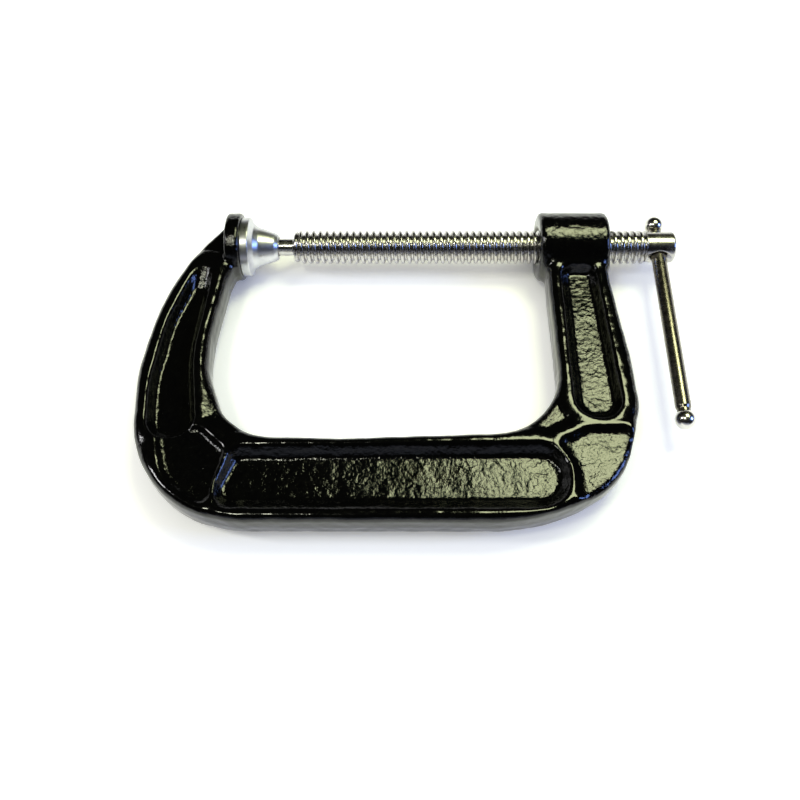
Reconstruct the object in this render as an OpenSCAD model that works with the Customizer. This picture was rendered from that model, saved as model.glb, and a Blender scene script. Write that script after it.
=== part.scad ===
// C clamp with a 100 mm opening, lying on its side.
// The origin is the centre of the anvil face. The screw runs along +X from the anvil to the bar,
// the frame's spine lies on the -Y side, and +Z is square to the clamp's flat side.

/* [Frame casting] */
// Widest opening between the anvil and the pad
opening = 100; // [60:5:150]
// Screw axis to the spine's inner edge
throat = 82.8; // [60:0.1:110]
// Thickness of the arms and the spine
frame_t = 14; // [11:0.5:20]
// Width of the spine, from the throat to the back
spine_w = 29.7; // [22:0.1:36]
// Width of the raised rim along the edges
rim_w = 7.2; // [6:0.1:9]
// Depth of each long pocket, from the rim
pocket_depth = 4; // [1:0.5:6]
// Depth of the shallow recess in each lower corner, from the rim
corner_depth = 1.6; // [0.5:0.1:3]

/* [Anvil and boss] */
// Diameter of the round anvil
anvil_d = 25.6; // [20:0.2:32]
// Thickness of the anvil's disc
anvil_t = 5.4; // [3:0.1:8]
// Outer diameter of the boss that carries the screw
boss_d = 26; // [22:1:34]
// Length of the boss along the screw
boss_len = 26; // [20:1:34]

/* [Screw] */
// Outside diameter of the thread
thread_d = 12.7; // [10:0.1:14]
// Thread pitch
pitch = 2.54; // [2:0.01:3]
// Depth of the thread
thread_depth = 1.2; // [0.8:0.1:1.6]
// Length of the threaded stretch
thread_len = 134.6; // [100:0.1:160]
// Plain end past the thread, which holds the eye
blank_len = 9.6; // [8:0.1:16]
// Diameter of the plain end
blank_d = 11.7; // [9:0.1:12]
// Diameter of the neck between the ball and the thread
neck_d = 6.4; // [5:0.1:8]

/* [Swivel pad] */
// Diameter of the pad's flat face
pad_d = 22.4; // [18:0.2:26]
// Length of the pad along the screw
pad_len = 13.6; // [12:0.1:16]
// Diameter of the swivel ball
ball_d = 9.2; // [8:0.1:9.6]

/* [Tommy bar] */
// Diameter of the bar
bar_d = 5.5; // [4:0.1:6]
// Distance between the centres of the two end balls
bar_len = 82.5; // [60:0.5:100]
// Diameter of the end balls
knob_d = 7.2; // [6.4:0.1:9]

/* [Hidden] */
$fn = 96;
eps = 0.01;

// Gaps between parts that run in each other
run_gap = 0.05;
ball_gap = 0.08;

// The frame, from the throat outwards
boss_x = opening + 12.5;
spine_in = -throat;
spine_out = -throat - spine_w;
arm_in = boss_x + 2.3;
arm_out = boss_x + 30.4;
bore_d = thread_d + 2 * run_gap;

// The screw, from the ball to the plain end
ball_x = 7.2;
thread_x = 20.8;
blank_x = thread_x + thread_len;
screw_end = blank_x + blank_len;
root_d = thread_d - 2 * thread_depth;
turns = floor(thread_len / pitch);
bar_x = blank_x + 3.5;
eye_d = bar_d + 0.2;
eye_mouth_d = 8.6;

// The bar, slid as far as it goes towards the spine
far_y = 9;
near_y = far_y - bar_len;
spigot_d = 3.6;
spigot_len = 1.2;
seat = sqrt(pow(knob_d / 2, 2) - pow(bar_d / 2, 2));

// Each outline point is [x, y, corner radius].
outer_edge = [
    [-anvil_t, 8.5, 1.5],
    [-16, -5.3, 60],
    [-27.2, -27.5, 90],
    [-31.6, -58, 50],
    [-29.4, -86.5, 38],
    [-14.5, spine_out + 4.2, 36],
    [7, spine_out, 40],
    [108, spine_out, 70],
    [135.1, spine_out + 14.7, 28],
    [arm_out, -70, 25],
    [arm_out - 1, -50, 60],
    [arm_out - 4.7, -20, 40],
    [arm_out - 5, -12, 0],
    [arm_out - 5, 0, 0]
];
inner_edge = [
    [arm_in, 0, 0],
    [arm_in + 0.1, -25, 100],
    [arm_in + 1.2, spine_in + 2.8, 24],
    [40, spine_in, 200],
    [10, spine_in + 0.8, 23],
    [-0.5, -73.5, 18],
    [-6.9, -56, 25],
    [-7, -42, 60],
    [-3.6, -18, 14],
    [-0.5, -9, 3],
    [-0.5, 8, 0]
];
spine_pocket = [
    [6.2, spine_in - rim_w, 3],
    [113, spine_in - rim_w + 1.1, 7],
    [113, spine_out + rim_w + 1.9, 7],
    [0.7, spine_out + rim_w + 1.9, 3]
];
right_pocket = [
    [arm_in + rim_w + 0.8, -15, 1.5],
    [arm_in + rim_w + 1.3, -72.8, 5],
    [arm_in + rim_w + 12.5, -72.8, 5],
    [arm_in + rim_w + 8.5, -15, 1.5]
];
left_pocket = [
    [-10.8, -15.5, 0.8],
    [-14.1, -17.5, 0.8],
    [-21, -37.5, 60],
    [-24, -61.5, 60],
    [-22.7, -81.5, 5.5],
    [-10.4, -80.5, 5.5],
    [-14.6, -51.5, 60]
];
left_corner = [
    [-20, -79, 3],
    [-7, -81, 4],
    [1, -88, 3],
    [-3, -106, 2],
    [-16, -97, 18]
];
right_corner = [
    [114.5, -84, 1.5],
    [122.8, -79.5, 4],
    [137, -79, 3],
    [132.5, -94, 18],
    [120.5, -103.5, 1.5],
    [117.5, -92, 14]
];

// The points of a closed outline with each corner rounded to its own radius.
function unit(v) = v / norm(v);
function corner(before, here, after, r, steps = 12) =
    let (
        u = unit(before - here),
        v = unit(after - here),
        half = acos(u * v) / 2,
        centre = here + unit(u + v) * r / sin(half),
        first = here + u * r / tan(half) - centre,
        last = here + v * r / tan(half) - centre,
        a0 = atan2(first.y, first.x),
        turn = atan2(first.x * last.y - first.y * last.x, first * last)
    )
    [for (i = [0 : steps]) centre + r * [cos(a0 + turn * i / steps), sin(a0 + turn * i / steps)]];
function rounded(outline) =
    let (n = len(outline), xy = [for (p = outline) [p.x, p.y]])
    [
        for (i = [0 : n - 1])
            each outline[i][2] == 0
                ? [xy[i]]
                : corner(xy[(i + n - 1) % n], xy[i], xy[(i + 1) % n], outline[i][2])
    ];

// Turns a profile of [x, radius] points about the screw axis.
module turned(profile) {
    rotate([90, 0, 90])
        rotate_extrude()
            polygon([for (p = profile) [p[1], p[0]]]);
}

// A recess of the given outline, cut into both sides of the frame.
module both_sides(outline, depth) {
    for (side = [-1, 1])
        translate([0, 0, side * frame_t / 2])
            linear_extrude(height = 2 * depth, center = true)
                polygon(rounded(outline));
}

module frame() {
    color("#141414")
        difference() {
            union() {
                linear_extrude(height = frame_t, center = true)
                    polygon(rounded(concat(outer_edge, inner_edge)));
                turned([
                    [-anvil_t, 0],
                    [-anvil_t, anvil_d / 2 - 1],
                    [-anvil_t + 1, anvil_d / 2],
                    [-0.6, anvil_d / 2],
                    [0, anvil_d / 2 - 0.6],
                    [0, 0]
                ]);
                turned([
                    [boss_x, 0],
                    [boss_x, boss_d / 2 - 1.5],
                    [boss_x + 1.5, boss_d / 2],
                    [boss_x + boss_len - 1.5, boss_d / 2],
                    [boss_x + boss_len, boss_d / 2 - 1.5],
                    [boss_x + boss_len, 0]
                ]);
            }
            both_sides(spine_pocket, pocket_depth);
            both_sides(right_pocket, pocket_depth);
            both_sides(left_pocket, pocket_depth);
            both_sides(left_corner, corner_depth);
            both_sides(right_corner, corner_depth);
            boss_bore();
        }
}

// The screw's bore, with a chamfer at each mouth.
module boss_bore() {
    translate([boss_x - 1, 0, 0])
        rotate([0, 90, 0])
            cylinder(h = boss_len + 2, d = bore_d);
    for (end = [0, 1])
        translate([boss_x + end * boss_len, 0, 0])
            mirror([end, 0, 0])
                turned([
                    [-eps, 0],
                    [-eps, bore_d / 2 + 0.9 + eps],
                    [0.9, bore_d / 2],
                    [0.9, 0]
                ]);
}

// Each groove of the thread is one turned ring, so the stack has the thread's own section.
function thread_profile() = [
    for (i = [0 : turns - 1])
        let (x = thread_x + 1.6 + i * pitch)
        each i * pitch + 1.6 + pitch > thread_len
            ? []
            : [
                [x, thread_d / 2],
                [x + 0.45, root_d / 2],
                [x + 1.35, root_d / 2],
                [x + 1.8, thread_d / 2]
            ]
];

module spindle() {
    color("silver")
        difference() {
            union() {
                translate([ball_x, 0, 0])
                    sphere(d = ball_d);
                turned(concat(
                    [[ball_x, 0], [ball_x, neck_d / 2], [thread_x - 1.8, neck_d / 2]],
                    [[thread_x, root_d / 2], [thread_x + 0.8, thread_d / 2]],
                    thread_profile(),
                    [[blank_x - 0.5, thread_d / 2], [blank_x, blank_d / 2]],
                    [[screw_end - 0.7, blank_d / 2], [screw_end, blank_d / 2 - 0.7], [screw_end, 0]]
                ));
            }
            spindle_eye();
        }
}

// The hole for the bar, with a countersink at each mouth.
module spindle_eye() {
    translate([bar_x, 0, 0])
        rotate([90, 0, 0])
            cylinder(h = thread_d + 2, d = eye_d, center = true);
    for (side = [0, 180])
        translate([bar_x, 0, 0])
            rotate([90, 0, side])
                translate([0, 0, 4.4])
                    cylinder(h = 2, d1 = eye_d, d2 = eye_mouth_d);
}

module swivel_pad() {
    color("gainsboro")
        difference() {
            turned([
                [0, 0],
                [0, pad_d / 2 - 0.4],
                [0.4, pad_d / 2],
                [3, pad_d / 2],
                [3.4, pad_d / 2 - 0.6],
                [4.2, 9.1],
                [5.2, 8.1],
                [6.5, 7.35],
                [8.2, 6.7],
                [10, 6.2],
                [11.8, 5.6],
                [pad_len - 0.8, 5.1],
                [pad_len, 4.4],
                [pad_len, 0]
            ]);
            translate([ball_x, 0, 0])
                sphere(d = ball_d + 2 * ball_gap);
            translate([ball_x, 0, 0])
                rotate([0, 90, 0])
                    cylinder(h = pad_len, d = neck_d + 1);
        }
}

module tommy_bar() {
    color("dimgray")
        translate([bar_x, 0, 0])
            rotate([90, 0, 0]) {
                translate([0, 0, -far_y + seat])
                    cylinder(h = bar_len - 2 * seat, d = bar_d);
                translate([0, 0, -far_y + seat - spigot_len])
                    cylinder(h = bar_len - 2 * seat + 2 * spigot_len, d = spigot_d);
            }
}

// An end ball, cut flat where it sits against the bar's shoulder, with a blind hole for the spigot.
module bar_knob() {
    color("lightgray")
        difference() {
            sphere(d = knob_d);
            translate([0, 0, seat])
                cylinder(h = knob_d, d = knob_d);
            translate([0, 0, seat - spigot_len])
                cylinder(h = knob_d, d = spigot_d);
        }
}

module bar_knob_far() {
    translate([bar_x, far_y, 0])
        rotate([90, 0, 0])
            bar_knob();
}

module bar_knob_near() {
    translate([bar_x, near_y, 0])
        rotate([-90, 0, 0])
            bar_knob();
}

frame();
spindle();
swivel_pad();
tommy_bar();
bar_knob_far();
bar_knob_near();
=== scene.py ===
import math

import bmesh
import bpy
import numpy as np
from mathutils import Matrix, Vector, noise


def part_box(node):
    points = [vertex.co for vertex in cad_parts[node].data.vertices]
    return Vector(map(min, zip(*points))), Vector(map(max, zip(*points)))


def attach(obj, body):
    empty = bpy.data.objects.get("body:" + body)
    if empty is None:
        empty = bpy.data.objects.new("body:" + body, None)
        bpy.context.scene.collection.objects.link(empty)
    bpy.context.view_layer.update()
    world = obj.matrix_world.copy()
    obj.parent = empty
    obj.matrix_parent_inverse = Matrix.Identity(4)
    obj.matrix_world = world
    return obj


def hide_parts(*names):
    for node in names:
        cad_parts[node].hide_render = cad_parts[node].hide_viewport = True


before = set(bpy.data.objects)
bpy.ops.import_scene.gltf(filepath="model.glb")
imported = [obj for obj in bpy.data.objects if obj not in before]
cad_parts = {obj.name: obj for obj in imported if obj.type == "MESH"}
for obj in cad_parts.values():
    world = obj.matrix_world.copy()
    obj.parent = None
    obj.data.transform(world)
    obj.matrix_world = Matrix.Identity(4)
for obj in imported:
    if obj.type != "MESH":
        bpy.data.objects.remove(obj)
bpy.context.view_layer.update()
scene = bpy.context.scene
mm = 0.001


# places and sizes, in millimetres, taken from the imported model
def boxMm(node):
    low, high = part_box(node)
    return [c / mm for c in low], [c / mm for c in high]


frameLow = boxMm("frame")[0]
screwHigh = boxMm("spindle")[1]
padHigh = boxMm("swivel_pad")[1]
barLow, barHigh = boxMm("tommy_bar")
farLow, farHigh = boxMm("bar_knob_far")
nearLow = boxMm("bar_knob_near")[0]
barX = (barLow[0] + barHigh[0]) / 2


# ---- small helpers

def addNode(tree, kind, inputs=None, **settings):
    # inputs are given by socket name or number: another node's output is linked, anything else is set
    node = tree.nodes.new(kind)
    for key, value in settings.items():
        setattr(node, key, value)
    for key, value in (inputs or {}).items():
        if isinstance(value, bpy.types.NodeSocket):
            tree.links.new(value, node.inputs[key])
        else:
            node.inputs[key].default_value = value
    return node


def hexColor(code):
    srgb = [int(code[i:i + 2], 16) / 255 for i in (1, 3, 5)]
    return [c / 12.92 if c <= 0.04045 else ((c + 0.055) / 1.055) ** 2.4 for c in srgb] + [1.0]


def newMaterial(name):
    material = bpy.data.materials.new(name)
    material.use_nodes = True
    material.node_tree.nodes.clear()
    return material, material.node_tree


def meshObject(name, points, faces, material, smooth=True):
    # points in millimetres; the object stays at the origin and its place is in its mesh
    mesh = bpy.data.meshes.new(name)
    mesh.from_pydata([Vector(p) * mm for p in points], [], faces)
    mesh.materials.append(material)
    piece = bpy.data.objects.new(name, mesh)
    scene.collection.objects.link(piece)
    bm = bmesh.new()
    bm.from_mesh(mesh)
    bmesh.ops.remove_doubles(bm, verts=bm.verts, dist=0.00001 * mm)
    bmesh.ops.recalc_face_normals(bm, faces=bm.faces)
    for face in bm.faces:
        face.smooth = smooth
    bm.to_mesh(mesh)
    bm.free()
    return piece


def roundCorner(before, here, after, radius, steps):
    here = np.array(here, float)
    u = np.array(before, float) - here
    v = np.array(after, float) - here
    u /= np.linalg.norm(u)
    v /= np.linalg.norm(v)
    half = math.acos(np.clip(u @ v, -1, 1)) / 2
    if radius == 0 or half > 1.565:
        return [here]
    middle = (u + v) / np.linalg.norm(u + v)
    centre = here + middle * radius / math.sin(half)
    first = here + u * radius / math.tan(half) - centre
    last = here + v * radius / math.tan(half) - centre
    start = math.atan2(first[1], first[0])
    turn = math.atan2(first[0] * last[1] - first[1] * last[0], first @ last)
    angles = start + turn * np.arange(steps + 1) / steps
    return [centre + radius * np.array([math.cos(a), math.sin(a)]) for a in angles]


def roundOutline(outline, closed=True, steps=10):
    # each point is (x, y, corner radius)
    count = len(outline)
    points = []
    for i, (x, y, radius) in enumerate(outline):
        if not closed and i in (0, count - 1):
            points.append(np.array([x, y], float))
            continue
        before = outline[i - 1][:2]
        after = outline[(i + 1) % count][:2]
        points += roundCorner(before, (x, y), after, radius, steps)
    return np.array(points)


def outlineDistance(outline, x, y):
    # signed distance in the clamp's plane, negative inside the rounded outline, and the way to it
    points = roundOutline(outline)
    nearest = np.full(x.shape, 1e9)
    awayX, awayY = np.zeros(x.shape), np.zeros(x.shape)
    inside = np.zeros(x.shape, bool)
    for a, b in zip(points, np.roll(points, -1, axis=0)):
        along = b - a
        t = np.clip(((x - a[0]) * along[0] + (y - a[1]) * along[1]) / (along @ along + 1e-12), 0, 1)
        dx, dy = x - a[0] - t * along[0], y - a[1] - t * along[1]
        distance = np.hypot(dx, dy)
        closer = distance < nearest
        nearest = np.where(closer, distance, nearest)
        awayX, awayY = np.where(closer, dx, awayX), np.where(closer, dy, awayY)
        if a[1] != b[1]:
            crosses = (a[1] > y) != (b[1] > y)
            inside ^= crosses & (x < a[0] + (y - a[1]) / (b[1] - a[1]) * along[0])
    return np.where(inside, -nearest, nearest), awayX, awayY


def softStep(value, start, end):
    t = np.clip((value - start) / (end - start), 0, 1)
    return t * t * (3 - 2 * t)


def softMin(a, b, blend):
    mix = np.clip(0.5 + 0.5 * (b - a) / blend, 0, 1)
    return b + (a - b) * mix - blend * mix * (1 - mix)


def softMax(a, b, blend):
    return -softMin(-a, -b, blend)


def roundedDisc(r, x, low, high, radius, rounding):
    # a turned disc or boss along X with rounded edges
    u = r - radius + rounding
    v = np.abs(x - (low + high) / 2) - (high - low) / 2 + rounding
    outside = np.hypot(np.maximum(u, 0), np.maximum(v, 0))
    return np.minimum(np.maximum(u, v), 0) + outside - rounding


def gridAxes(low, high, cell):
    axes = [np.arange(a, b + cell, cell) for a, b in zip(low, high)]
    return [axes[0][:, None, None], axes[1][None, :, None], axes[2][None, None, :]]


def surfaceFrom(field, low, cell, relax=4):
    # one vertex in each cell that the surface crosses, one quad round each grid edge that it cuts
    inside = field < 0
    shape = np.array(field.shape) - 1
    total = np.zeros((*shape, 3))
    count = np.zeros(shape)
    cuts = []
    for axis in range(3):
        near = [slice(None)] * 3
        far = [slice(None)] * 3
        near[axis] = slice(0, -1)
        far[axis] = slice(1, None)
        crossing = np.argwhere(inside[tuple(near)] != inside[tuple(far)])
        step = np.eye(3, dtype=int)[axis]
        f0 = field[tuple(crossing.T)]
        f1 = field[tuple((crossing + step).T)]
        place = crossing + step * (f0 / (f0 - f1))[:, None]
        others = [(axis + 1) % 3, (axis + 2) % 3]
        corners = []
        for da, db in ((0, 0), (1, 0), (1, 1), (0, 1)):
            cell4 = crossing.copy()
            cell4[:, others[0]] -= da
            cell4[:, others[1]] -= db
            np.add.at(total, tuple(cell4.T), place)
            np.add.at(count, tuple(cell4.T), 1)
            corners.append(cell4)
        cuts.append((corners, f0 < 0))
    index = np.full(shape, -1)
    used = np.argwhere(count > 0)
    index[tuple(used.T)] = np.arange(len(used))
    points = total[tuple(used.T)] / count[tuple(used.T)][:, None]
    quads = []
    for corners, leaving in cuts:
        ids = np.stack([index[tuple(c.T)] for c in corners], axis=1)
        quads.append(np.where(leaving[:, None], ids, ids[:, ::-1]))
    quads = np.concatenate(quads)
    # even the mesh out, putting it back on the surface each time
    slopes = np.stack(np.gradient(field), axis=-1)
    edges = np.concatenate([quads[:, [i, (i + 1) % 4]] for i in range(4)])
    for _ in range(relax):
        gathered = np.zeros_like(points)
        links = np.zeros(len(points))
        np.add.at(gathered, edges[:, 0], points[edges[:, 1]])
        np.add.at(links, edges[:, 0], 1)
        points = 0.4 * points + 0.6 * gathered / links[:, None]
        points = ontoSurface(points, field, slopes)
    return points * cell + np.array(low), quads


def sample(grid, points):
    base = np.clip(np.floor(points).astype(int), 0, np.array(grid.shape[:3]) - 2)
    t = np.clip(points - base, 0, 1)
    value = 0
    for i in (0, 1):
        for j in (0, 1):
            for k in (0, 1):
                part = grid[base[:, 0] + i, base[:, 1] + j, base[:, 2] + k]
                share = (abs(1 - i - t[:, 0]) * abs(1 - j - t[:, 1]) * abs(1 - k - t[:, 2]))
                value = value + (part.T * share).T
    return value


def ontoSurface(points, field, slopes):
    slope = sample(slopes, points)
    size = np.maximum((slope ** 2).sum(axis=1), 0.05)
    return points - np.clip(sample(field, points) / size, -0.6, 0.6)[:, None] * slope


def turned(name, profile, material, along="X", origin=(0, 0, 0), steps=112):
    # profile points are (distance along the axis, radius, corner radius); both ends are on the axis
    line = roundOutline(profile, closed=False, steps=6)
    points = []
    faces = []
    for t, r in line:
        for i in range(steps):
            angle = 2 * math.pi * i / steps
            spot = (t, r * math.cos(angle), r * math.sin(angle))
            if along == "Y":
                spot = (r * math.sin(angle), t, r * math.cos(angle))
            points.append([spot[k] + origin[k] for k in range(3)])
    for row in range(len(line) - 1):
        for i in range(steps):
            j = (i + 1) % steps
            a, b = row * steps, (row + 1) * steps
            faces.append((a + i, a + j, b + j, b + i))
    return meshObject(name, points, faces, material)


# ---- camera, floor and light

cameraSettings = {
    "place": (63.1, -204.9, 272.6),
    "tilt": 28.0,
    "lens": 39.4,
    "shift": (-0.01, -0.019),
}


def makeCamera(s):
    data = bpy.data.cameras.new("camera")
    data.lens = s["lens"]
    data.shift_x, data.shift_y = s["shift"]
    camera = bpy.data.objects.new("camera", data)
    camera.location = Vector(s["place"]) * mm
    camera.rotation_euler = (math.radians(s["tilt"]), 0, 0)
    scene.collection.objects.link(camera)
    scene.camera = camera


makeCamera(cameraSettings)

stageSettings = {
    "floorColor": "#f2f2f0",
    "floorReach": 9000,
    "floorGlow": 0.8,
    # how far round the clamp the painted contact shade on the floor reaches, in mm
    "paintedShadeReach": 16.0,
    "roomColor": "#0d0b0a",
    "roomStrength": 1.0,
    "horizon": (0.02, 0.2),
    # name: place, where it points, width and height (all mm), colour, power in watts
    "lights": {
        # the warm main softbox, overhead to the right and a little behind
        "softbox": ((370, 280, 900), (370, 280, 0), (400, 380), "#f8ffca", 5.8),
        # a small second pane, overhead to the left
        "pane": ((-200, -240, 880), (-200, -240, 0), (110, 150), "#fdffe6", 1.6),
        # a cool window far to the right, and a dim cool wall in front
        "window": ((1250, -190, 700), (90, -60, 0), (380, 520), "#86a8ff", 7.0),
        "front": ((60, -1200, 300), (60, -60, 0), (1500, 320), "#d2daf0", 0.6),
        # a narrow strip to the left that draws the thin line on the left rim
        "strip": ((-820, -80, 800), (0, -60, 0), (120, 420), "#ffffff", 3.0),
    },
}


def makeStage(s):
    world = bpy.data.worlds.new("room")
    world.use_nodes = True
    background = world.node_tree.nodes["Background"]
    background.inputs["Strength"].default_value = s["roomStrength"]
    # the room is dark overhead and pale low down, where the floor runs out of sight
    tree = world.node_tree
    toward = addNode(tree, "ShaderNodeTexCoord").outputs["Generated"]
    height = addNode(tree, "ShaderNodeSeparateXYZ", {"Vector": toward}).outputs["Z"]
    low = addNode(tree, "ShaderNodeMapRange", {
        "Value": height, "From Min": s["horizon"][0], "From Max": s["horizon"][1],
        "To Min": 1.0, "To Max": 0.0,
    }, interpolation_type="SMOOTHSTEP").outputs[0]
    shade = addNode(tree, "ShaderNodeMix", {"Factor": low}, data_type="RGBA")
    shade.inputs[6].default_value = hexColor(s["roomColor"])
    shade.inputs[7].default_value = hexColor(s["floorColor"])
    tree.links.new(shade.outputs[2], background.inputs["Color"])
    scene.world = world
    for name, (place, aim, size, color, power) in s["lights"].items():
        data = bpy.data.lights.new(name, "AREA")
        data.shape = "RECTANGLE"
        data.size, data.size_y = size[0] * mm, size[1] * mm
        data.color = hexColor(color)[:3]
        data.energy = power
        light = bpy.data.objects.new(name, data)
        light.location = Vector(place) * mm
        turn = Vector(aim) - Vector(place)
        light.rotation_euler = turn.to_track_quat("-Z", "Y").to_euler()
        scene.collection.objects.link(light)
    # a matt white board, which glows a little so that the shadows stay soft; near and under the clamp
    # ambient occlusion cuts the glow back, a painted contact shade on the floor
    material, tree = newMaterial("matt white board")
    # painted shade: the floor's glow is scaled down by ambient occlusion where the clamp hides the floor
    paintedShadeFactor = addNode(tree, "ShaderNodeAmbientOcclusion", {"Distance": s["paintedShadeReach"] * mm}).outputs["AO"]
    glow = addNode(tree, "ShaderNodeMath", {0: paintedShadeFactor, 1: s["floorGlow"]}, operation="MULTIPLY")
    shader = addNode(tree, "ShaderNodeBsdfPrincipled", {
        "Base Color": hexColor(s["floorColor"]),
        "Roughness": 0.9,
        "Specular IOR Level": 0.1,
        "Emission Color": hexColor(s["floorColor"]),
        "Emission Strength": glow.outputs[0],
    })
    addNode(tree, "ShaderNodeOutputMaterial", {"Surface": shader.outputs[0]})
    z = frameLow[2]
    far = s["floorReach"]
    corners = [(-far, -far, z), (far, -far, z), (far, far, z), (-far, far, z)]
    floor = meshObject("floor", corners, [(0, 1, 2, 3)], material)


makeStage(stageSettings)
scene.view_settings.view_transform = "Standard"
print("camera, floor and lights")


# ---- finishes

def blackEnamel():
    # stoved gloss black enamel on sand-cast iron: near black, with a wet shine that the cast
    # surface under it breaks up, most in the pockets and least on the rims
    s = {
        "color": "#030304",
        "thinColor": "#080807",
        "roughness": (0.06, 0.16),
        "gritSize": 1.7,
        "gritDepth": 0.25,
        "lumpSize": 4.0,
        "lumpDepth": 0.1,
        "peelSize": 0.4,
        "peelDepth": 0.006,
    }
    material, tree = newMaterial("gloss black enamel on cast iron")
    place = addNode(tree, "ShaderNodeTexCoord").outputs["Object"]
    rough = addNode(tree, "ShaderNodeAttribute", attribute_name="castRoughness").outputs["Fac"]
    grit = addNode(tree, "ShaderNodeTexNoise", {
        "Vector": place, "Scale": 1 / (s["gritSize"] * mm), "Detail": 3.0, "Roughness": 0.55,
    }).outputs["Fac"]
    lumps = addNode(tree, "ShaderNodeTexNoise", {
        "Vector": place, "Scale": 1 / (s["lumpSize"] * mm), "Detail": 2.0, "Roughness": 0.5,
    }).outputs["Fac"]
    peel = addNode(tree, "ShaderNodeTexNoise", {
        "Vector": place, "Scale": 1 / (s["peelSize"] * mm), "Detail": 1.0,
    }).outputs["Fac"]
    gritAmount = addNode(tree, "ShaderNodeMapRange", {
        "Value": rough, "To Min": 0.02, "To Max": 1.0,
    }).outputs[0]
    bumpLumps = addNode(tree, "ShaderNodeBump", {
        "Strength": 1.0, "Distance": s["lumpDepth"] * mm, "Height": lumps,
    })
    bumpGrit = addNode(tree, "ShaderNodeBump", {
        "Strength": gritAmount, "Distance": s["gritDepth"] * mm, "Height": grit,
        "Normal": bumpLumps.outputs[0],
    })
    bumpPeel = addNode(tree, "ShaderNodeBump", {
        "Strength": 1.0, "Distance": s["peelDepth"] * mm, "Height": peel,
        "Normal": bumpGrit.outputs[0],
    })
    tint = addNode(tree, "ShaderNodeMix", {"Factor": lumps}, data_type="RGBA")
    # sockets of the colour mix share their names with the number mix, so they are set by number
    tint.inputs[6].default_value = hexColor(s["color"])
    tint.inputs[7].default_value = hexColor(s["thinColor"])
    sheen = addNode(tree, "ShaderNodeMapRange", {
        "Value": grit, "From Min": 0.3, "From Max": 0.75,
        "To Min": s["roughness"][0], "To Max": s["roughness"][1],
    }).outputs[0]
    shader = addNode(tree, "ShaderNodeBsdfPrincipled", {
        "Base Color": tint.outputs[2], "Roughness": sheen, "IOR": 1.52,
        "Normal": bumpPeel.outputs[0],
    })
    addNode(tree, "ShaderNodeOutputMaterial", {"Surface": shader.outputs[0]})
    return material


def platedSteel(name, color, darkColor, roughness, markSize, markDepth, along="X"):
    # bright zinc plate on turned or rolled steel: fine tool marks run round the piece and spread
    # the highlights along it, and the plate is a little duller in patches
    material, tree = newMaterial(name)
    place = addNode(tree, "ShaderNodeTexCoord").outputs["Object"]
    split = addNode(tree, "ShaderNodeSeparateXYZ", {"Vector": place})
    marks = addNode(tree, "ShaderNodeTexNoise", {
        "W": addNode(tree, "ShaderNodeMath", {
            0: split.outputs[along], 1: 1 / (markSize * mm),
        }, operation="MULTIPLY").outputs[0],
        "Scale": 1.0, "Detail": 2.0,
    }, noise_dimensions="1D").outputs["Fac"]
    patches = addNode(tree, "ShaderNodeTexNoise", {
        "Vector": place, "Scale": 1 / (2.5 * mm), "Detail": 4.0, "Roughness": 0.6,
    }).outputs["Fac"]
    tint = addNode(tree, "ShaderNodeMix", {"Factor": patches}, data_type="RGBA")
    tint.inputs[6].default_value = hexColor(color)
    tint.inputs[7].default_value = hexColor(darkColor)
    dull = addNode(tree, "ShaderNodeMapRange", {
        "Value": patches, "From Min": 0.3, "From Max": 0.7,
        "To Min": roughness[0], "To Max": roughness[1],
    }).outputs[0]
    bump = addNode(tree, "ShaderNodeBump", {
        "Strength": 0.6, "Distance": markDepth * mm, "Height": marks,
    })
    shader = addNode(tree, "ShaderNodeBsdfPrincipled", {
        "Base Color": tint.outputs[2], "Metallic": 1.0, "Roughness": dull,
        "Normal": bump.outputs[0],
    })
    addNode(tree, "ShaderNodeOutputMaterial", {"Surface": shader.outputs[0]})
    return material


enamel = blackEnamel()
screwSteel = platedSteel("bright zinc on rolled steel", "#d2d0d0", "#a8a5a2", (0.16, 0.3), 0.35, 0.02)
padSteel = platedSteel("bright zinc on turned steel", "#dcdde0", "#bcbdc2", (0.26, 0.4), 0.3, 0.01)
barSteel = platedSteel("polished bare steel rod", "#9d978b", "#78726a", (0.2, 0.32), 0.3, 0.006, "Y")
ballSteel = platedSteel("bright nickel on pressed steel", "#e0deda", "#c9c6c2", (0.14, 0.24), 0.8, 0.003, "Y")
print("finishes")


# ---- frame casting

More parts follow.
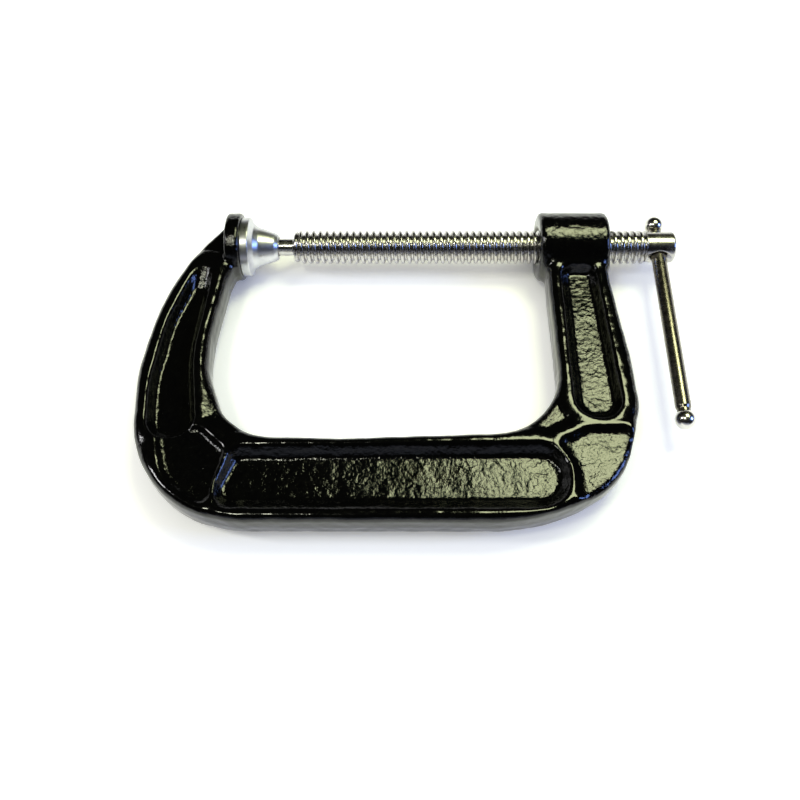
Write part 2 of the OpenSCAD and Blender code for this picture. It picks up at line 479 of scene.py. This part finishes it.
casting = {
    "cell": 0.64,
    "gridLow": (-36.0, -117.0, -15.0),
    "gridHigh": (148.0, 19.0, 15.0),
    "halfThickness": 7.0,
    "edgeRound": 2.3,
    "draft": 0.05,
    "crown": 0.05,
    # foundry lumps: (height, size)
    "foundryLumps": [(0.16, 9.0), (0.09, 3.2)],
    "anvil": {"low": -5.4, "high": 0.0, "radius": 12.8, "rounding": 0.9},
    "boss": {"low": 112.5, "high": 138.5, "radius": 13.0, "rounding": 1.9},
    "boreRadius": 6.75,
    "edge": [
        (-5.4, 8.5, 1.5), (-16, -5.3, 60), (-27.2, -27.5, 90), (-31.6, -58, 50), (-29.4, -86.5, 38),
        (-14.5, -108.3, 36), (7, -112.5, 40), (108, -112.5, 70), (135.1, -97.8, 28),
        (142.9, -70, 25), (141.9, -50, 60), (138.2, -20, 40), (137.9, -12, 0), (137.9, 0, 0),
        (114.8, 0, 0), (114.9, -25, 100), (116, -80, 24), (40, -82.8, 200), (10, -82, 23),
        (-0.5, -73.5, 18), (-6.9, -56, 25), (-7, -42, 60), (-3.6, -18, 14), (-0.5, -9, 3),
        (-0.5, 8, 0),
    ],
    # each hollow: its floor's outline, how deep the floor lies, how wide its sloping walls are to
    # the left, right, top and bottom, and where along the arm it runs out to nothing
    "hollows": [
        {"deep": 4.0, "walls": (3.4, 4.4, 4.9, 6.2), "fade": None, "outline": [
            (6.2, -90, 3), (113, -88.9, 7), (113, -103.4, 7), (0.7, -103.4, 3)]},
        {"deep": 4.0, "walls": (4.2, 3.0, 3.0, 4.0), "fade": None, "outline": [
            (122.8, -15, 1.5), (123.3, -72.8, 5), (134.5, -72.8, 5), (130.5, -15, 1.5)]},
        {"deep": 4.0, "walls": (3.2, 2.8, 3.0, 3.2), "fade": (-11.5, -23.5), "outline": [
            (-10.8, -12.5, 0.8), (-13.3, -14.5, 0.8), (-21, -37.5, 60), (-24, -61.5, 60),
            (-22.7, -81.5, 5.5), (-10.4, -80.5, 5.5), (-14.6, -51.5, 60)]},
        {"deep": 1.5, "walls": (3.0, 2.6, 2.4, 3.0), "fade": None, "outline": [
            (-20, -79, 3), (-7, -81, 4), (1, -88, 3), (-3, -106, 2), (-16, -97, 18)]},
        {"deep": 1.4, "walls": (5.0, 2.4, 3.0, 2.4), "fade": None, "outline": [
            (116.8, -85.5, 1.5), (124, -81.5, 4), (138.8, -81, 3), (134.2, -95.5, 18),
            (121.4, -105.2, 1.5), (121.2, -94, 14)]},
    ],
}


def hollowDepth(s, x, y):
    # how far the surface lies below the rims at each place in the clamp's plane
    depth = np.zeros(x.shape)
    beyond = np.full(x.shape, 1e9)
    for hollow in s["hollows"]:
        distance, awayX, awayY = outlineDistance(hollow["outline"], x, y)
        left, right, top, bottom = hollow["walls"]
        share = awayX ** 2 / (awayX ** 2 + awayY ** 2 + 1e-9)
        wall = np.where(awayX > 0, right, left) * share + np.where(awayY > 0, top, bottom) * (1 - share)
        part = hollow["deep"] * (1 - softStep(distance, -0.3, wall))
        if hollow["fade"]:
            part = part * softStep(-y, -hollow["fade"][0], -hollow["fade"][1])
        depth = np.maximum(depth, part)
        beyond = np.minimum(beyond, np.maximum(distance - wall, 0))
    # the rims fall away a little past their crests
    return depth + s["crown"] * np.minimum(beyond, 5) ** 2


def castingField(s, low, high):
    x, y, z = gridAxes(low, high, s["cell"])
    flatX, flatY = x[:, :, 0] + 0 * y[:, :, 0], y[:, :, 0] + 0 * x[:, :, 0]
    edge = outlineDistance(s["edge"], flatX, flatY)[0][:, :, None]
    depth = hollowDepth(s, flatX, flatY)[:, :, None]
    rounding = s["edgeRound"]
    u = edge + np.abs(z) * s["draft"] + rounding
    v = np.abs(z) - s["halfThickness"] + depth + rounding
    field = np.minimum(np.maximum(u, v), 0) + np.hypot(np.maximum(u, 0), np.maximum(v, 0)) - rounding
    r = np.hypot(y, z) + 0 * x
    field = softMin(field, roundedDisc(r, x, **s["anvil"]), 1.6)
    boss = roundedDisc(r, x, **s["boss"])
    field = softMin(field, boss, 3.0)
    # the screw's bore, opened out at both mouths
    mouth = np.minimum(np.abs(x - s["boss"]["low"]), np.abs(x - s["boss"]["high"]))
    bore = s["boreRadius"] + np.maximum(0, 1.1 - mouth) - r
    bore = np.where(x > 100, bore, -10)
    return softMax(field, bore, 0.5)


def makeFrame(s):
    low, high = np.array(s["gridLow"]), np.array(s["gridHigh"])
    points, quads = surfaceFrom(castingField(s, low, high), low, s["cell"])
    piece = meshObject("frameCasting", points, quads.tolist(), enamel)
    mesh = piece.data
    # foundry lumps, kept off the anvil's face and out of the bore
    spots = np.array([v.co for v in mesh.vertices]) / mm
    normals = np.array([v.normal for v in mesh.vertices])
    depth = hollowDepth(s, spots[:, 0], spots[:, 1])
    radius = np.hypot(spots[:, 1], spots[:, 2])
    boss = s["boss"]
    onBoss = (spots[:, 0] > boss["low"] - 1) & (radius < boss["radius"] + 0.5)
    lumps = np.zeros(len(spots))
    for height, size in s["foundryLumps"]:
        lumps += [height * noise.noise(Vector(p) / size) for p in spots]
    lumps[onBoss & (radius < 8)] = 0
    lumps[(np.abs(spots[:, 0]) < 0.8) & (radius < 13)] = 0
    mesh.vertices.foreach_set("co", ((spots + normals * lumps[:, None]) * mm).ravel())
    rough = np.clip(np.maximum(depth / 1.2, 0.75 * onBoss), 0, 1) * np.abs(normals[:, 2]) ** 0.5 + 0.12
    mesh.attributes.new("castRoughness", "FLOAT", "POINT").data.foreach_set("value", rough)
    mesh.update()
    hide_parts("frame")
    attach(piece, "frame")
    return piece


makeFrame(casting)
print("frame casting")


# ---- screw

screw = {
    "ballCentre": 7.2,
    "ballRadius": 4.6,
    "neckRadius": 3.2,
    "threadStart": 20.2,
    "threadEnd": 155.4,
    "pitch": 2.54,
    "outerRadius": 6.35,
    "rootRadius": 5.0,
    "columns": 72,
    "rowsPerTurn": 14,
    "blankRadius": 5.85,
    "eyeRadius": 2.95,
    "eyeCell": 0.15,
    # the thread's section over one pitch: (share of the pitch, share of the depth)
    "section": [
        (0.16, 0.0), (0.24, 0.14), (0.36, 0.86), (0.44, 1.0), (0.72, 1.0), (0.80, 0.86), (0.92, 0.14),
    ],
}


def threadTree():
    # a right-hand thread: a strip rolled round X, whose radius follows the helix
    tree = bpy.data.node_groups.new("rolledThread", "GeometryNodeTree")
    sockets = tree.interface
    sockets.new_socket("Geometry", in_out="OUTPUT", socket_type="NodeSocketGeometry")
    for name in ("Start", "Length", "Pitch", "Outer Radius", "Root Radius", "Run Out"):
        sockets.new_socket(name, in_out="INPUT", socket_type="NodeSocketFloat")
    for name in ("Rows", "Columns"):
        sockets.new_socket(name, in_out="INPUT", socket_type="NodeSocketInt")
    sockets.new_socket("Material", in_out="INPUT", socket_type="NodeSocketMaterial")
    given = addNode(tree, "NodeGroupInput").outputs

    grid = addNode(tree, "GeometryNodeMeshGrid", {
        "Size X": given["Length"], "Size Y": 1.0,
        "Vertices X": given["Rows"], "Vertices Y": given["Columns"],
    })
    place = addNode(tree, "ShaderNodeSeparateXYZ", {
        "Vector": addNode(tree, "GeometryNodeInputPosition").outputs[0],
    })
    along = addNode(tree, "ShaderNodeMath", {
        0: given["Length"], 1: 0.5, 2: place.outputs["X"],
    }, operation="MULTIPLY_ADD").outputs[0]
    turn = addNode(tree, "ShaderNodeMath", {0: place.outputs["Y"], 1: 0.5}, operation="ADD").outputs[0]
    # phase runs from 0 to 1 across one groove and crest
    pitches = addNode(tree, "ShaderNodeMath", {0: along, 1: given["Pitch"]}, operation="DIVIDE")
    helix = addNode(tree, "ShaderNodeMath", {0: pitches.outputs[0], 1: turn}, operation="SUBTRACT")
    phase = addNode(tree, "ShaderNodeMath", {0: helix.outputs[0]}, operation="FRACT")
    profile = addNode(tree, "ShaderNodeFloatCurve", {"Value": phase.outputs[0]})
    curve = profile.mapping.curves[0]
    curve.points[0].location = (0.0, 0.0)
    curve.points[1].location = (1.0, 0.0)
    for point in screw["section"]:
        curve.points.new(*point)
    profile.mapping.update()
    # the groove fades out over the last turn at each end
    left = addNode(tree, "ShaderNodeMath", {0: given["Length"], 1: along}, operation="SUBTRACT")
    fromEnd = addNode(tree, "ShaderNodeMath", {0: along, 1: left.outputs[0]}, operation="MINIMUM").outputs[0]
    fade = addNode(tree, "ShaderNodeMapRange", {
        "Value": fromEnd, "From Min": 0.0, "From Max": given["Run Out"],
    }, interpolation_type="SMOOTHSTEP").outputs[0]
    crest = addNode(tree, "ShaderNodeMath", {0: profile.outputs[0], 1: fade}, operation="MULTIPLY")
    surface = addNode(tree, "ShaderNodeMapRange", {
        "Value": crest.outputs[0], "To Min": given["Root Radius"], "To Max": given["Outer Radius"],
    }).outputs[0]
    # the first and last rows close on the axis
    inner = addNode(tree, "ShaderNodeMath", {0: fromEnd, 1: 0.001 * mm}, operation="GREATER_THAN")
    radius = addNode(tree, "ShaderNodeMath", {
        0: surface, 1: inner.outputs[0],
    }, operation="MULTIPLY").outputs[0]
    angle = addNode(tree, "ShaderNodeMath", {0: turn, 1: 2 * math.pi}, operation="MULTIPLY").outputs[0]
    across = addNode(tree, "ShaderNodeMath", {0: angle}, operation="COSINE")
    up = addNode(tree, "ShaderNodeMath", {0: angle}, operation="SINE")
    start = addNode(tree, "ShaderNodeMath", {0: along, 1: given["Start"]}, operation="ADD")
    sideways = addNode(tree, "ShaderNodeMath", {0: radius, 1: across.outputs[0]}, operation="MULTIPLY")
    upright = addNode(tree, "ShaderNodeMath", {0: radius, 1: up.outputs[0]}, operation="MULTIPLY")
    spot = addNode(tree, "ShaderNodeCombineXYZ", {
        "X": start.outputs[0], "Y": sideways.outputs[0], "Z": upright.outputs[0],
    })
    rolled = addNode(tree, "GeometryNodeSetPosition", {
        "Geometry": grid.outputs["Mesh"], "Position": spot.outputs[0],
    })
    closed = addNode(tree, "GeometryNodeMergeByDistance", {
        "Geometry": rolled.outputs[0], "Distance": 0.002 * mm,
    })
    real = addNode(tree, "GeometryNodeRealizeInstances", {"Geometry": closed.outputs[0]})
    coated = addNode(tree, "GeometryNodeSetMaterial", {
        "Geometry": real.outputs[0], "Material": given["Material"],
    })
    addNode(tree, "NodeGroupOutput", {0: coated.outputs[0]})
    return tree


def plainMesh(tree, values, name):
    # runs the tree on an empty mesh and keeps the result as a plain mesh
    carrier = bpy.data.objects.new(name, bpy.data.meshes.new(name))
    scene.collection.objects.link(carrier)
    modifier = carrier.modifiers.new("build", "NODES")
    modifier.node_group = tree
    for socket in tree.interface.items_tree:
        if socket.in_out == "INPUT":
            modifier[socket.identifier] = values[socket.name]
    evaluated = carrier.evaluated_get(bpy.context.evaluated_depsgraph_get())
    mesh = bpy.data.meshes.new_from_object(evaluated)
    carrier.modifiers.remove(modifier)
    carrier.data = mesh
    bm = bmesh.new()
    bm.from_mesh(mesh)
    bmesh.ops.recalc_face_normals(bm, faces=bm.faces)
    for face in bm.faces:
        face.smooth = True
    bm.to_mesh(mesh)
    bm.free()
    return carrier


def blankField(s, low, high):
    # the plain end: chamfered, cross-drilled, and countersunk where the hole breaks out
    x, y, z = gridAxes(low, high, s["eyeCell"])
    r = np.hypot(y, z) + 0 * x
    end = screwHigh[0]
    field = roundedDisc(r, x, s["threadEnd"] - 1.6, end, s["blankRadius"], 0.15)
    chamfer = (r - s["blankRadius"] + 0.75 + x - end) / math.sqrt(2)
    field = softMax(field, chamfer, 0.25)
    holeRadius = np.hypot(x - barX, z) + 0 * y
    hole = s["eyeRadius"] - holeRadius
    sink = (np.abs(y) - 4.1 - (holeRadius - s["eyeRadius"]) * 0.9) / math.sqrt(1 + 0.81)
    return softMax(softMax(field, hole, 0.25), sink, 0.35)


def makeScrew(s):
    length = s["threadEnd"] - s["threadStart"]
    thread = plainMesh(threadTree(), {
        "Start": s["threadStart"] * mm,
        "Length": length * mm,
        "Pitch": s["pitch"] * mm,
        "Outer Radius": s["outerRadius"] * mm,
        "Root Radius": s["rootRadius"] * mm,
        "Run Out": s["pitch"] * 0.8 * mm,
        "Rows": int(length / s["pitch"] * s["rowsPerTurn"]) + 1,
        "Columns": s["columns"] + 1,
        "Material": screwSteel,
    }, "screwThread")
    ball, rb, neck = s["ballCentre"], s["ballRadius"], s["neckRadius"]
    ballLine = [(ball - rb * math.cos(a), rb * math.sin(a), 0) for a in np.linspace(0, 2.3, 15)]
    shank = turned("screwNeck", ballLine + [
        (11.4, neck, 0.3), (19.2, neck, 0.5), (19.9, 5.6, 0.3), (20.8, 5.9, 0.3), (22, 4.6, 0), (22, 0, 0),
    ], screwSteel)
    low = np.array([s["threadEnd"] - 3, -7.0, -7.0])
    high = np.array([screwHigh[0] + 1, 7.0, 7.0])
    points, quads = surfaceFrom(blankField(s, low, high), low, s["eyeCell"], relax=3)
    blank = meshObject("screwEye", points, quads.tolist(), screwSteel)
    for piece in (thread, shank, blank):
        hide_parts("spindle")
        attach(piece, "spindle")


makeScrew(screw)
print("screw")


# ---- swivel pad

pad = {
    "faceRadius": 11.2,
    "mouthRadius": 3.75,
    "socketRadius": 4.7,
}


def makePad(s):
    back = padHigh[0]
    socket, rs = screw["ballCentre"], s["socketRadius"]
    wall = math.asin(s["mouthRadius"] / rs)
    hollow = [(socket + rs * math.cos(a), rs * math.sin(a), 0) for a in np.linspace(wall, math.pi, 14)]
    outside = [
        (0, 0, 0), (0, s["faceRadius"], 0.35), (3.1, s["faceRadius"], 0.45), (3.7, 9.9, 0.4),
        (4.6, 8.5, 1.5), (6.4, 7.35, 3), (9.4, 6.4, 4), (back - 1.4, 5.4, 0.9), (back, 4.6, 0.5),
        (back, s["mouthRadius"], 0.3),
    ]
    piece = turned("padBell", outside + hollow[:-1] + [(socket - rs, 0, 0)], padSteel)
    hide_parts("swivel_pad")
    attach(piece, "swivel_pad")


makePad(pad)
print("swivel pad")


# ---- tommy bar and its end balls

bar = {
    "radius": 2.75,
    "neckRadius": 2.35,
    "ballRadius": 3.6,
}


def makeBar(s):
    far = (farLow[1] + farHigh[1]) / 2 + 0.6
    near = nearLow[1] + s["ballRadius"]
    r, neck = s["radius"], s["neckRadius"]
    rod = turned("barRod", [
        (near - 1, 0, 0), (near - 1, 1.8, 0), (near + 2.6, neck, 0.2), (near + 3.8, neck, 0.6),
        (near + 4.8, r, 0.8), (far - 4.6, r, 0.8), (far - 3.7, neck, 0.6), (far - 2.6, neck, 0.2),
        (far + 1, 1.8, 0), (far + 1, 0, 0),
    ], barSteel, "Y", (barX, 0, 0))
    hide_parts("tommy_bar")
    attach(rod, "tommy_bar")
    for name, node, centre, side in (
        ("ballFar", "bar_knob_far", far, 1),
        ("ballNear", "bar_knob_near", near, -1),
    ):
        rb = s["ballRadius"]
        start = math.asin(neck / rb)
        line = [(-side * rb * math.cos(a), rb * math.sin(a), 0) for a in np.linspace(start, math.pi, 22)]
        ends = [(line[0][0] + side * 0.9, 0, 0), (line[0][0] + side * 0.9, neck - 0.3, 0)]
        piece = turned(name, ends + line[:-1] + [(side * rb, 0, 0)], ballSteel, "Y", (barX, centre, 0))
        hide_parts(node)
        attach(piece, "tommy_bar")


makeBar(bar)
print("tommy bar")
